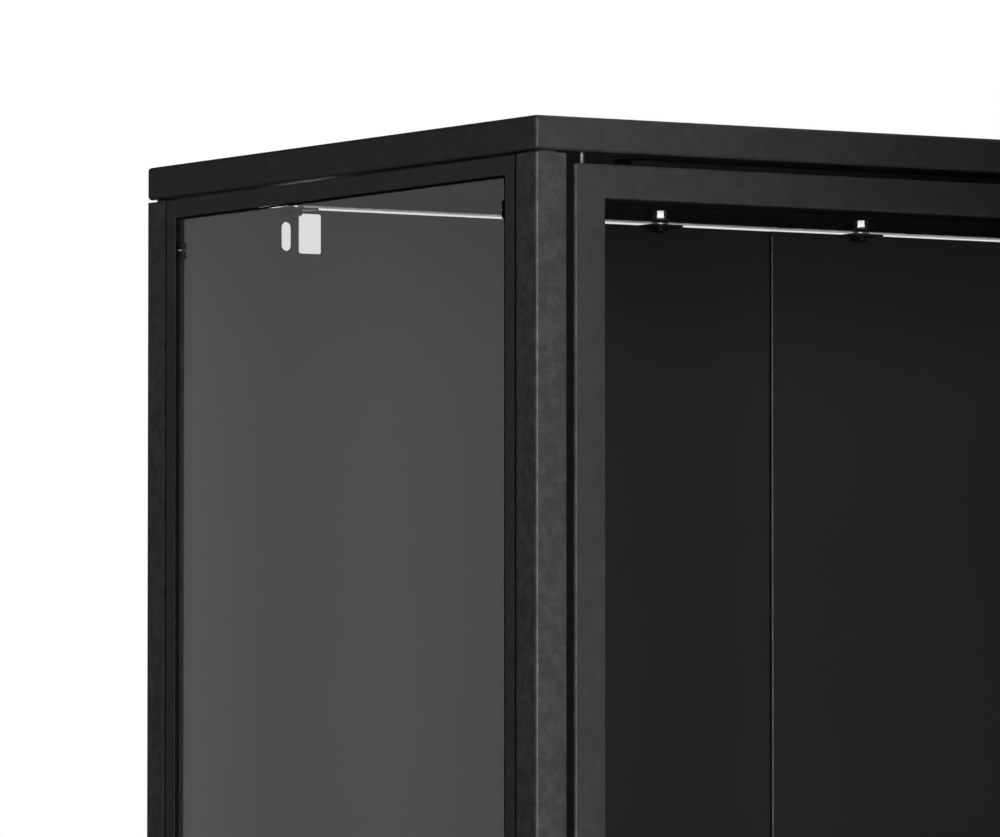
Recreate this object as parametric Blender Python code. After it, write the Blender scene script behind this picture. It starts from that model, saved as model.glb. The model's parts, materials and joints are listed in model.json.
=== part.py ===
"""Steel display cabinet with two glass doors on pivot pins.

Four tube posts carry a folded top and a folded floor. Slim glazed frames close
the sides, two sheets close the back, and two glazed doors turn on pins near the
front posts. Units are metres, Z is up, the doors face -Y, and the origin lies
on the floor under the middle of the cabinet.
"""

import math

import bmesh
import bpy
from mathutils import Matrix, Vector

# Overall size
WIDTH = 0.800
DEPTH = 0.403
HEIGHT = 1.800
LEG_CLEARANCE = 0.100       # floor to the underside of the bottom panel

# Clearances
GAP = 0.0003                # between pieces that bear on each other
PIN_PLAY = 0.0001           # around a pivot pin, on the radius
SIDE_REVEAL = 0.0007        # shadow line between a post and a side frame

# Sheet metal
SHEET = 0.0012
PANEL_THICKNESS = 0.018     # folded top and bottom panels
PANEL_RADIUS = 0.0022
RETURN_LIP = 0.018          # folded-in edge of the panels
FRONT_LIP = 0.040           # wider at the front, it carries pins and door stop

# Posts
POST = 0.020
POST_WALL = 0.0012
POST_RADIUS = 0.0020
TOP_SHADOW = 0.0014         # shadow line between the posts and the top panel

# Side frames
SIDE_RAIL = 0.010
SIDE_DEPTH = 0.0024
SIDE_GLASS = 0.004
SIDE_GLASS_LAP = 0.006      # how far the pane covers the frame
SIDE_EDGE = 0.0007          # rounding of the frame's edges
GLASS_EDGE = 0.0004         # ground edge of every pane
BEAD = 0.0006               # thickness of the seal that lines the opening

# Doors
DOOR_DEPTH = 0.020
DOOR_STILE = 0.0195
DOOR_RAIL = 0.0180
DOOR_RADIUS = 0.0016
DOOR_WALL = 0.0012
DOOR_TO_POST = 0.004
DOOR_TO_PANEL = 0.006
DOOR_TO_DOOR = 0.003
DOOR_GLASS = 0.004
GLASS_BITE = 0.0055         # how far the door pane enters its frame
SEAL_WALL = 0.0010
SEAL_LIP = 0.0015           # how far the seal stands proud of the frame

# Pivots
PIVOT_FROM_POST = 0.013
PIVOT_FROM_FRONT = 0.008
PIN_DIAMETER = 0.004
PIN_HEAD = 0.008
PIN_HEAD_HEIGHT = 0.0025
PIN_IN_DOOR = 0.012
BUSH_DIAMETER = 0.010

# Back
BACK_INSET = 0.008
BACK_SHADOW = 0.0014        # open joint between back and top panel
BACK_FLANGE = 0.0065
SEAM_LAP = 0.018
SEAM_OFFSET = 0.003
TAB_WIDTH = 0.021
TAB_REACH = 0.012
OUTER_BOLT_FROM_SIDE = 0.0897
LEFT_BOLT_FROM_SEAM = 0.0746
RIGHT_BOLT_FROM_SEAM = 0.0611
WINDOW = (0.0148, 0.0221)   # wall fixing window, width and height
WINDOW_FROM_SIDE = 0.1029
WINDOW_DROP = 0.0327        # below the top of the cabinet
WINDOW_RADIUS = 0.0012
SLOT = (0.0064, 0.0161)
SLOT_ROUNDNESS = 0.49       # corner radius over the slot's width
SLOT_FROM_SIDE = 0.0877
SLOT_DROP = 0.0347

# Top bolts
BOLT_DIAMETER = 0.004
BOLT_HEAD = 0.008
BOLT_HEAD_HEIGHT = 0.003
WASHER_DIAMETER = 0.009
NUT_FLATS = 0.007
NUT_HEIGHT = 0.0052
NUT_FLANGE = 0.0095
NUT_FLANGE_HEIGHT = 0.0010

# Door stop and magnets
STOP_FROM_SIDE = 0.072
STOP_DROP = 0.020
STOP_LEG = 0.017
STOP_BEND = 0.0020
CATCH_WIDTH = 0.040
CATCH_HEIGHT = 0.009
CATCH_DEPTH = 0.012
CATCH_FROM_CENTRE = 0.045
CATCH_DROP = 0.014          # top panel's underside to the middle of the catch
POLE_WIDTH = 0.024

# Shelves
SHELF_COUNT = 3
SHELF_GLASS = 0.006
SHELF_SIDE_GAP = 0.003
SHELF_FRONT_GAP = 0.006
SHELF_BACK_GAP = 0.004
RAIL_FROM_SIDE = 0.011
RAIL_LEG = 0.020
RAIL_DROP = 0.015
RAIL_SHEET = 0.0015
RAIL_NOTCH = 0.0215         # side to the notch that lets the door swing past

# Small fittings
CLIP_WIDTH = 0.0020
CLIP_HEIGHT = 0.0095
CLIP_HEAD = 0.0024
CLIP_EDGE = 0.0005
CLIP_STEM = 0.0010
CLIP_STEM_LENGTH = 0.006
CLIP_FROM_END = 0.028
KNOB_DIAMETER = 0.020
KNOB_FOOT = 0.012
KNOB_NECK = 0.008
KNOB_LENGTH = 0.018
KNOB_BASE = 0.0018          # thickness of the foot
KNOB_HEAD = 0.0054          # height of the head
KNOB_CROWN = 0.0009         # slope at the rim
KNOB_HEIGHT = 0.950
FOOT_HEIGHT = 0.006
FOOT_FLARE = 0.018
PLUG_LENGTH = 0.016

# Facets
EDGE_STEPS = 2
ROUND_SIDES = 24

# Levels and planes that follow from the sizes above
HALF_W = WIDTH / 2
HALF_D = DEPTH / 2
FRONT = -HALF_D
BACK = HALF_D
TOP_UNDER = HEIGHT - PANEL_THICKNESS
POST_TOP = TOP_UNDER - TOP_SHADOW
POST_FOOT = FOOT_HEIGHT + GAP
FLOOR_UNDER = LEG_CLEARANCE
FLOOR_TOP = FLOOR_UNDER + PANEL_THICKNESS
DOOR_TOP = TOP_UNDER - DOOR_TO_PANEL
DOOR_BOTTOM = FLOOR_TOP + DOOR_TO_PANEL
DOOR_OUTER = HALF_W - POST - DOOR_TO_POST
DOOR_INNER = DOOR_TO_DOOR / 2
PIVOT_X = HALF_W - POST - PIVOT_FROM_POST
PIVOT_Y = FRONT + PIVOT_FROM_FRONT
GROOVE_WIDTH = DOOR_GLASS + 2 * SEAL_WALL + 4 * GAP
BACK_FACE = BACK - BACK_INSET
BOLT_Y = BACK_FACE - BOLT_HEAD / 2 - 2 * GAP
SHELF_PITCH = (TOP_UNDER - FLOOR_TOP) / (SHELF_COUNT + 1)
OUTER_BOLT_X = HALF_W - OUTER_BOLT_FROM_SIDE
TOP_BOLTS_X = (-OUTER_BOLT_X, -LEFT_BOLT_FROM_SEAM, RIGHT_BOLT_FROM_SEAM,
               OUTER_BOLT_X)
WINDOW_X = HALF_W - WINDOW_FROM_SIDE
SLOT_X = HALF_W - SLOT_FROM_SIDE

# Paints: colour, roughness, metallic
POWDER_BLACK = ((0.030, 0.030, 0.033), 0.62, 0.0)
SHEET_BLACK = ((0.036, 0.036, 0.038), 0.66, 0.0)
CLEAR_GLASS = ((0.72, 0.80, 0.78), 0.03, 0.0)
RUBBER_BLACK = ((0.012, 0.012, 0.012), 0.80, 0.0)
ZINC = ((0.80, 0.80, 0.82), 0.18, 1.0)
NYLON = ((0.05, 0.05, 0.05), 0.50, 0.0)
MAGNET_GREY = ((0.08, 0.08, 0.085), 0.45, 0.0)


def clear_scene():
    """Remove every object the file starts with."""
    for item in list(bpy.data.objects):
        bpy.data.objects.remove(item, do_unlink=True)


def paint(item, finish):
    """Give an object its own Principled material."""
    colour, roughness, metallic = finish
    material = bpy.data.materials.new(item.name)
    material.use_nodes = True
    shader = material.node_tree.nodes["Principled BSDF"]
    shader.inputs["Base Color"].default_value = (*colour, 1.0)
    shader.inputs["Roughness"].default_value = roughness
    shader.inputs["Metallic"].default_value = metallic
    item.data.materials.append(material)


def add_object(name, mesh_data, finish, centre=(0, 0, 0), parent=None):
    """Turn a bmesh drawn about its own centre into a placed, painted object."""
    bmesh.ops.recalc_face_normals(mesh_data, faces=mesh_data.faces)
    mesh = bpy.data.meshes.new(name)
    mesh_data.to_mesh(mesh)
    mesh_data.free()
    mesh.shade_smooth()
    mesh.set_sharp_from_angle(angle=math.radians(35))
    item = bpy.data.objects.new(name, mesh)
    bpy.context.collection.objects.link(item)
    item.location = Vector(centre)
    if parent is not None:
        item.parent = parent
        item.location = Vector(centre) - parent.location
    if finish is not None:
        paint(item, finish)
    return item


def middle(low, high):
    """Centre and size of the box between two corners, in any order."""
    low, high = Vector(low), Vector(high)
    size = high - low
    return (low + high) / 2, Vector(abs(value) for value in size)


def round_edges(mesh_data, radius):
    """Round every edge of a mesh that turns by more than a few degrees."""
    bmesh.ops.recalc_face_normals(mesh_data, faces=mesh_data.faces)
    sharp = [edge for edge in mesh_data.edges if edge.calc_face_angle() > 0.1]
    bmesh.ops.bevel(mesh_data, geom=sharp, offset=radius, segments=EDGE_STEPS,
                    profile=0.5, affect="EDGES")


def box_mesh(size, radius=0.0):
    """A box about the origin, with every edge rounded when radius is given."""
    mesh_data = bmesh.new()
    bmesh.ops.create_cube(mesh_data, size=1.0)
    bmesh.ops.scale(mesh_data, vec=size, verts=mesh_data.verts)
    if radius > 0:
        round_edges(mesh_data, radius)
    return mesh_data


def box(name, low, high, finish, radius=0.0, parent=None):
    """A box between two world corners."""
    centre, size = middle(low, high)
    return add_object(name, box_mesh(size, radius), finish, centre, parent)


def ring_mesh(size, inner, radius=0.0):
    """A rectangular ring about the origin, open along its thinnest direction.

    size is the outer box. inner is the opening, given along the two wide
    directions; the ring's long edges are rounded when radius is given.
    """
    through = min(range(3), key=lambda axis: size[axis])
    wide = [axis for axis in range(3) if axis != through]
    corners = ((-1, -1), (1, -1), (1, 1), (-1, 1))
    mesh_data = bmesh.new()
    loops = []
    for span in (Vector((size[wide[0]], size[wide[1]])), Vector(inner)):
        for side in (-1, 1):
            loop = []
            for corner in corners:
                place = [0.0, 0.0, 0.0]
                place[wide[0]] = corner[0] * span[0] / 2
                place[wide[1]] = corner[1] * span[1] / 2
                place[through] = side * size[through] / 2
                loop.append(mesh_data.verts.new(place))
            loops.append(loop)
    outer_near, outer_far, inner_near, inner_far = loops
    for first, second in ((outer_near, outer_far), (inner_near, inner_far),
                          (outer_near, inner_near), (outer_far, inner_far)):
        for index in range(4):
            follow = (index + 1) % 4
            mesh_data.faces.new((first[index], first[follow],
                                 second[follow], second[index]))
    if radius > 0:
        round_edges(mesh_data, radius)
    return mesh_data


def ring(name, low, high, inner, finish, radius=0.0, parent=None):
    """A rectangular ring between two world corners."""
    centre, size = middle(low, high)
    return add_object(name, ring_mesh(size, inner, radius), finish, centre, parent)


def outline_radius(shape, flats, angle):
    """Distance from the centre to a round, square or hexagonal outline."""
    sides = {"round": 0, "square": 4, "hex": 6}[shape]
    if sides == 0:
        return flats / 2
    sector = 2 * math.pi / sides
    offset = (angle + sector / 2) % sector - sector / 2
    return flats / 2 / math.cos(offset)


def stacked_mesh(levels):
    """A body of stacked outlines about the Z axis.

    Each level is (height, size across flats, shape), from the bottom up. Two
    levels at one height make a shoulder.
    """
    mesh_data = bmesh.new()
    loops = []
    for height, flats, shape in levels:
        loop = []
        for index in range(ROUND_SIDES):
            angle = 2 * math.pi * index / ROUND_SIDES
            reach = outline_radius(shape, flats, angle)
            loop.append(mesh_data.verts.new((reach * math.cos(angle),
                                             reach * math.sin(angle), height)))
        loops.append(loop)
    for lower, upper in zip(loops, loops[1:]):
        for index in range(ROUND_SIDES):
            follow = (index + 1) % ROUND_SIDES
            mesh_data.faces.new((lower[index], lower[follow],
                                 upper[follow], upper[index]))
    mesh_data.faces.new(list(reversed(loops[0])))
    mesh_data.faces.new(loops[-1])
    return mesh_data


def stacked(name, centre, levels, finish, axis="+Z", parent=None):
    """A stacked body that starts at a world point."""
    mesh_data = stacked_mesh(levels)
    bmesh.ops.transform(mesh_data, matrix=turned_to(axis), verts=mesh_data.verts)
    return add_object(name, mesh_data, finish, centre, parent)


def turned_to(axis):
    """Turns Z onto an axis: +X keeps an outline as (y, z), -Y as (x, z)."""
    if axis == "+X":
        return Matrix(((0, 0, 1), (1, 0, 0), (0, 1, 0))).to_4x4()
    if axis == "-Y":
        return Matrix.Rotation(math.pi / 2, 4, "X")
    return Matrix()


def extruded_mesh(outline, length, axis="+Z"):
    """An outline extruded along an axis, centred on the origin."""
    mesh_data = bmesh.new()
    ring_verts = [mesh_data.verts.new((x, y, -length / 2)) for x, y in outline]
    face = mesh_data.faces.new(ring_verts)
    grown = bmesh.ops.extrude_face_region(mesh_data, geom=[face])
    lifted = [part for part in grown["geom"] if isinstance(part, bmesh.types.BMVert)]
    bmesh.ops.translate(mesh_data, vec=(0, 0, length), verts=lifted)
    bmesh.ops.transform(mesh_data, matrix=turned_to(axis), verts=mesh_data.verts)
    return mesh_data


def rounded_square(side, radius, steps):
    """Corner points of a square with round corners, counter-clockwise."""
    points = []
    reach = side / 2 - radius
    for quarter in range(4):
        middle_angle = math.pi / 4 + quarter * math.pi / 2
        centre_x = math.copysign(reach, math.cos(middle_angle))
        centre_y = math.copysign(reach, math.sin(middle_angle))
        for step in range(steps + 1):
            angle = quarter * math.pi / 2 + step * math.pi / 2 / steps
            points.append((centre_x + radius * math.cos(angle),
                           centre_y + radius * math.sin(angle)))
    return points


def cutter(name, mesh_data, centre):
    """A hidden solid for a Boolean."""
    tool = add_object(name, mesh_data, None, centre)
    tool.hide_render = True
    tool.display_type = "WIRE"
    return tool


def combine(item, tool, operation):
    """Add a live Boolean to an object."""
    change = item.modifiers.new(tool.name, "BOOLEAN")
    change.operation = operation
    change.solver = "EXACT"
    change.object = tool


def cut_box(item, name, low, high):
    """Cut a box between two world corners out of an object."""
    centre, size = middle(low, high)
    combine(item, cutter(name, box_mesh(size), centre), "DIFFERENCE")


def rod_mesh(diameter, length, axis="+Z"):
    """A round bar, centred on the origin."""
    mesh_data = stacked_mesh(((-length / 2, diameter, "round"),
                              (length / 2, diameter, "round")))
    bmesh.ops.transform(mesh_data, matrix=turned_to(axis), verts=mesh_data.verts)
    return mesh_data


def cut_round(item, name, centre, diameter, length, axis="+Z"):
    """Cut a round hole through an object, centred on a world point."""
    tool = cutter(name, rod_mesh(diameter, length, axis), centre)
    combine(item, tool, "DIFFERENCE")


def side_name(side):
    """left for -1, right for 1, seen from the front."""
    return "left" if side < 0 else "right"


def make_posts():
    """Tube posts, their feet and the packing plugs under the top panel."""
    outer = rounded_square(POST, POST_RADIUS, 3)
    bore = POST - 2 * POST_WALL
    inner = rounded_square(bore, POST_RADIUS - POST_WALL, 3)
    length = POST_TOP - POST_FOOT
    plug = bore - 2 * GAP
    pad = POST - 2 * POST_RADIUS
    for side in (-1, 1):
        for end, row in ((-1, "front"), (1, "rear")):
            label = f"{row}_{side_name(side)}"
            x = side * (HALF_W - POST / 2)
            y = end * (HALF_D - POST / 2)
            centre = (x, y, (POST_TOP + POST_FOOT) / 2)
            post = add_object(f"post_{label}", extruded_mesh(outer, length),
                              POWDER_BLACK, centre)
            bore_tool = cutter(f"bore_{label}",
                               extruded_mesh(inner, length + POST), centre)
            combine(post, bore_tool, "DIFFERENCE")
            stacked(f"foot_{label}", (x, y, 0),
                    ((0, FOOT_FLARE, "round"),
                     (FOOT_HEIGHT, POST - 2 * GAP, "round"),
                     (FOOT_HEIGHT, plug, "round"),
                     (FOOT_HEIGHT + PLUG_LENGTH, plug, "round")),
                    NYLON)
            stacked(f"top_plug_{label}", (x, y, POST_TOP - PLUG_LENGTH),
                    ((0, plug, "round"),
                     (PLUG_LENGTH, plug, "round"),
                     (PLUG_LENGTH, pad, "round"),
                     (PLUG_LENGTH + TOP_SHADOW - GAP, pad, "round")),
                    NYLON)


def notched_outline(inset):
    """The floor's outline, notched for the posts, moved inwards by inset."""
    wide = HALF_W - inset
    narrow = HALF_W - POST - GAP - inset
    deep = HALF_D - inset
    shallow = HALF_D - POST - GAP - inset
    return [(narrow, -deep), (narrow, -shallow), (wide, -shallow),
            (wide, shallow), (narrow, shallow), (narrow, deep),
            (-narrow, deep), (-narrow, shallow), (-wide, shallow),
            (-wide, -shallow), (-narrow, -shallow), (-narrow, -deep)]


def make_top_panel():
    """Folded steel top with returned lips, open on its underside."""
    top = box("top_panel", (-HALF_W, FRONT, TOP_UNDER), (HALF_W, BACK, HEIGHT),
              SHEET_BLACK, PANEL_RADIUS)
    cut_box(top, "top_hollow",
            (SHEET - HALF_W, FRONT + SHEET, TOP_UNDER + SHEET),
            (HALF_W - SHEET, BACK - SHEET, HEIGHT - SHEET))
    cut_box(top, "top_mouth",
            (RETURN_LIP - HALF_W, FRONT + FRONT_LIP, TOP_UNDER - SHEET),
            (HALF_W - RETURN_LIP, BACK - RETURN_LIP, TOP_UNDER + 2 * SHEET))
    for side in (-1, 1):
        cut_round(top, f"top_pin_hole_{side_name(side)}",
                  (side * PIVOT_X, PIVOT_Y, TOP_UNDER),
                  PIN_DIAMETER + 2 * GAP, 4 * SHEET)
    for number, x in enumerate(TOP_BOLTS_X, start=1):
        cut_round(top, f"top_bolt_hole_{number}", (x, BOLT_Y, TOP_UNDER),
                  BOLT_DIAMETER + 2 * GAP, 4 * SHEET)


def make_bottom_panel():
    """Folded steel floor, notched around the posts, open on its underside."""
    floor_mesh = extruded_mesh(notched_outline(0), PANEL_THICKNESS)
    round_edges(floor_mesh, PANEL_RADIUS / 2)
    floor = add_object("bottom_panel", floor_mesh, SHEET_BLACK,
                       (0, 0, FLOOR_UNDER + PANEL_THICKNESS / 2))
    hollow_height = PANEL_THICKNESS - 2 * SHEET
    hollow = extruded_mesh(notched_outline(SHEET), hollow_height)
    centre = (0, 0, FLOOR_UNDER + SHEET + hollow_height / 2)
    combine(floor, cutter("floor_hollow", hollow, centre), "DIFFERENCE")
    inner = POST + GAP + RETURN_LIP
    cut_box(floor, "floor_mouth",
            (inner - HALF_W, FRONT + RETURN_LIP, FLOOR_UNDER - SHEET),
            (HALF_W - inner, BACK - RETURN_LIP, FLOOR_UNDER + 2 * SHEET))
    for side in (-1, 1):
        cut_round(floor, f"floor_pin_hole_{side_name(side)}",
                  (side * PIVOT_X, PIVOT_Y, FLOOR_TOP),
                  PIN_DIAMETER + 2 * GAP, 4 * SHEET)


def make_top_bolts():
    """Bolts with flange nuts that hold the back sheets to the top panel."""
    tab_top = TOP_UNDER - BACK_SHADOW
    head_top = tab_top - SHEET - GAP
    base = head_top - BOLT_HEAD_HEIGHT
    nut_low = TOP_UNDER + SHEET + GAP
    nut_shoulder = nut_low + NUT_FLANGE_HEIGHT
    levels = ((base, BOLT_HEAD, "round"),
              (head_top, BOLT_HEAD, "round"),
              (head_top, BOLT_DIAMETER, "round"),
              (tab_top + GAP, BOLT_DIAMETER, "round"),
              (tab_top + GAP, WASHER_DIAMETER, "round"),
              (TOP_UNDER - GAP, WASHER_DIAMETER, "round"),
              (TOP_UNDER - GAP, BOLT_DIAMETER, "round"),
              (nut_low, BOLT_DIAMETER, "round"),
              (nut_low, NUT_FLANGE, "round"),
              (nut_shoulder, NUT_FLANGE, "round"),
              (nut_shoulder, NUT_FLATS, "hex"),
              (nut_low + NUT_HEIGHT, NUT_FLATS, "hex"))
    local = [(height - base, size, shape) for height, size, shape in levels]
    for number, x in enumerate(TOP_BOLTS_X, start=1):
        stacked(f"top_bolt_{number}", (x, BOLT_Y, base), local, ZINC)


def cut_plate_hole(sheet, name, x, z, size, radius):
    """Cut a round-cornered hole through the back, seen from the front."""
    width, height = size
    mesh_data = box_mesh((width, 4 * BACK_INSET, height))
    corners = [edge for edge in mesh_data.edges
               if abs(edge.verts[0].co.y - edge.verts[1].co.y) > BACK_INSET]
    bmesh.ops.bevel(mesh_data, geom=corners, offset=radius, segments=5,
                    profile=0.5, affect="EDGES")
    combine(sheet, cutter(name, mesh_data, (x, BACK, z)), "DIFFERENCE")


def make_back():
    """Two overlapping back sheets with fixing tabs, windows and slots."""
    low = FLOOR_TOP + GAP
    high = TOP_UNDER - BACK_SHADOW
    edge = HALF_W - POST - GAP
    for side in (-1, 1):
        label = side_name(side)
        # The right sheet laps over the left one, so the left one sits deeper.
        near = BACK_FACE if side > 0 else BACK_FACE + SHEET + GAP
        seam = SEAM_OFFSET if side > 0 else SEAM_OFFSET + SEAM_LAP
        far = near + SHEET
        hem = near + BACK_FLANGE
        outline = [(seam, near), (side * edge, near), (side * edge, hem),
                   (side * (edge - SHEET), hem), (side * (edge - SHEET), far),
                   (seam, far)]
        sheet = add_object(f"back_sheet_{label}",
                           extruded_mesh(outline, high - low), SHEET_BLACK,
                           (0, 0, (low + high) / 2))
        for number, x in enumerate(TOP_BOLTS_X, start=1):
            if x * side < 0:
                continue
            centre, size = middle(
                (x - TAB_WIDTH / 2, BACK_FACE - TAB_REACH, high - SHEET),
                (x + TAB_WIDTH / 2, near + SHEET / 2, high))
            combine(sheet, cutter(f"tab_{number}", box_mesh(size), centre), "UNION")
            cut_round(sheet, f"tab_hole_{number}", (x, BOLT_Y, high),
                      BOLT_DIAMETER + 2 * GAP, 4 * SHEET)
        cut_plate_hole(sheet, f"window_{label}", side * WINDOW_X,
                       HEIGHT - WINDOW_DROP, WINDOW, WINDOW_RADIUS)
        cut_plate_hole(sheet, f"slot_{label}", side * SLOT_X,
                       HEIGHT - SLOT_DROP, SLOT, SLOT[0] * SLOT_ROUNDNESS)


def make_sides():
    """Slim glazed frames between the posts, with their seals and clips."""
    low_y = FRONT + POST + SIDE_REVEAL
    low_z = FLOOR_TOP + GAP
    centre_z = (POST_TOP + low_z) / 2
    opening = (-2 * low_y - 2 * SIDE_RAIL, POST_TOP - low_z - 2 * SIDE_RAIL)
    half_pane = [value / 2 + SIDE_GLASS_LAP for value in opening]
    half_lining = [value / 2 - GAP for value in opening]
    seal_opening = [2 * (value - BEAD) for value in half_lining]
    for side in (-1, 1):
        label = side_name(side)
        outer_face = side * (HALF_W - GAP)
        inner_face = outer_face - side * SIDE_DEPTH
        frame = ring(f"side_frame_{label}", (outer_face, low_y, low_z),
                     (inner_face, -low_y, POST_TOP), opening, POWDER_BLACK,
                     SIDE_EDGE)
        seal = ring(f"side_seal_{label}",
                    (outer_face - side * GAP, -half_lining[0],
                     centre_z - half_lining[1]),
                    (inner_face, half_lining[0], centre_z + half_lining[1]),
                    seal_opening, RUBBER_BLACK)
        glass_face = inner_face - side * GAP
        box(f"side_glass_{label}",
            (glass_face, -half_pane[0], centre_z - half_pane[1]),
            (glass_face - side * SIDE_GLASS, half_pane[0],
             centre_z + half_pane[1]),
            CLEAR_GLASS, GLASS_EDGE)
        for end, row in ((-1, "front"), (1, "rear")):
            for level, z in (("top", POST_TOP - CLIP_FROM_END),
                             ("bottom", low_z + CLIP_FROM_END)):
                make_clip(f"side_clip_{label}_{row}_{level}", (frame, seal),
                          ((outer_face + inner_face) / 2,
                           end * (half_lining[0] - BEAD - GAP), z), end)


def make_clip(name, pierced, seat, end):
    """A push-in clip: a flat head on the seal, a stem in the frame."""
    x, y, z = seat
    head = box(name, (x - CLIP_WIDTH / 2, y, z - CLIP_HEIGHT / 2),
               (x + CLIP_WIDTH / 2, y - end * CLIP_HEAD, z + CLIP_HEIGHT / 2),
               RUBBER_BLACK, CLIP_EDGE)
    stem_centre = (x, y + end * (CLIP_STEM_LENGTH - CLIP_HEAD) / 2, z)
    stem = cutter(f"{name}_stem",
                  rod_mesh(CLIP_STEM, CLIP_STEM_LENGTH + CLIP_HEAD / 2, "-Y"),
                  stem_centre)
    combine(head, stem, "UNION")
    for item in pierced:
        cut_round(item, f"{name}_hole_{item.name}", stem_centre,
                  CLIP_STEM + 2 * GAP, CLIP_STEM_LENGTH + CLIP_HEAD / 2 + 2 * GAP,
                  "-Y")


def make_door(side):
    """A door: hollow frame, sealed pane and knob, hung on its pivot."""
    label = side_name(side)
    bpy.ops.object.empty_add(location=(side * PIVOT_X, PIVOT_Y, 0))
    pivot = bpy.context.object
    pivot.name = f"pivot_axis_{label}"

    centre_x = side * (DOOR_OUTER + DOOR_INNER) / 2
    centre_z = (DOOR_TOP + DOOR_BOTTOM) / 2
    centre = Vector((centre_x, FRONT + DOOR_DEPTH / 2, centre_z))
    width = DOOR_OUTER - DOOR_INNER
    height = DOOR_TOP - DOOR_BOTTOM
    opening = (width - 2 * DOOR_STILE, height - 2 * DOOR_RAIL)

    frame = add_object(f"door_frame_{label}",
                       ring_mesh((width, DOOR_DEPTH, height), opening, DOOR_RADIUS),
                       POWDER_BLACK, centre, pivot)
    shell = 2 * DOOR_WALL
    hollow = ring_mesh((width - shell, DOOR_DEPTH - shell, height - shell),
                       [value + shell for value in opening])
    combine(frame, cutter(f"door_hollow_{label}", hollow, centre), "DIFFERENCE")
    reach = GLASS_BITE + SEAL_WALL + 2 * GAP
    groove = box_mesh((opening[0] + 2 * reach, GROOVE_WIDTH, opening[1] + 2 * reach))
    combine(frame, cutter(f"door_groove_{label}", groove, centre), "DIFFERENCE")
    for level, z in (("top", DOOR_TOP), ("bottom", DOOR_BOTTOM)):
        cut_round(frame, f"door_pin_hole_{level}_{label}",
                  (side * PIVOT_X, PIVOT_Y, z), PIN_DIAMETER + 2 * PIN_PLAY,
                  4 * DOOR_WALL)

    pane = [value + 2 * GLASS_BITE for value in opening]
    add_object(f"door_glass_{label}",
               box_mesh((pane[0], DOOR_GLASS, pane[1]), GLASS_EDGE),
               CLEAR_GLASS, centre, pivot)
    channel = [value + 2 * GAP for value in pane]
    seal_outer = [value + 2 * SEAL_WALL for value in channel]
    seal_depth = DOOR_GLASS + 2 * GAP + 2 * SEAL_WALL
    seal = add_object(f"door_seal_{label}",
                      ring_mesh((seal_outer[0], seal_depth, seal_outer[1]),
                                [value - 2 * SEAL_LIP for value in opening]),
                      RUBBER_BLACK, centre, pivot)
    slot = box_mesh((channel[0], DOOR_GLASS + 2 * GAP, channel[1]))
    combine(seal, cutter(f"seal_slot_{label}", slot, centre), "DIFFERENCE")

    stacked(f"door_knob_{label}",
            (side * (DOOR_INNER + DOOR_STILE / 2), FRONT - GAP, KNOB_HEIGHT),
            ((0, KNOB_FOOT, "round"),
             (KNOB_BASE, KNOB_FOOT, "round"),
             (2 * KNOB_BASE, KNOB_NECK, "round"),
             (KNOB_LENGTH - KNOB_HEAD - KNOB_NECK / 2, KNOB_NECK, "round"),
             (KNOB_LENGTH - KNOB_HEAD, KNOB_DIAMETER, "round"),
             (KNOB_LENGTH - KNOB_CROWN, KNOB_DIAMETER, "round"),
             (KNOB_LENGTH, KNOB_FOOT, "round")),
            POWDER_BLACK, "-Y", pivot)


def make_pivots():
    """Pins above and below each door, and the bush that carries the door."""
    for side in (-1, 1):
        label = side_name(side)
        x = side * PIVOT_X
        low = DOOR_TOP - PIN_IN_DOOR
        head = TOP_UNDER + SHEET + GAP - low
        stacked(f"pivot_pin_top_{label}", (x, PIVOT_Y, low),
                ((0, PIN_DIAMETER, "round"),
                 (head, PIN_DIAMETER, "round"),
                 (head, PIN_HEAD, "round"),
                 (head + PIN_HEAD_HEIGHT, PIN_HEAD, "round")), ZINC)
        seat = FLOOR_TOP - SHEET - GAP
        low = seat - PIN_HEAD_HEIGHT
        stacked(f"pivot_pin_bottom_{label}", (x, PIVOT_Y, low),
                ((0, PIN_HEAD, "round"),
                 (PIN_HEAD_HEIGHT, PIN_HEAD, "round"),
                 (PIN_HEAD_HEIGHT, PIN_DIAMETER, "round"),
                 (DOOR_BOTTOM + PIN_IN_DOOR - low, PIN_DIAMETER, "round")), ZINC)
        low = FLOOR_TOP + GAP
        height = DOOR_TO_PANEL - 2 * GAP
        bush = stacked(f"pivot_bush_{label}", (x, PIVOT_Y, low),
                       ((0, BUSH_DIAMETER, "round"),
                        (height, BUSH_DIAMETER, "round")), NYLON)
        cut_round(bush, f"bush_bore_{label}", (x, PIVOT_Y, low + height / 2),
                  PIN_DIAMETER + 2 * PIN_PLAY, 2 * height)


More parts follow.
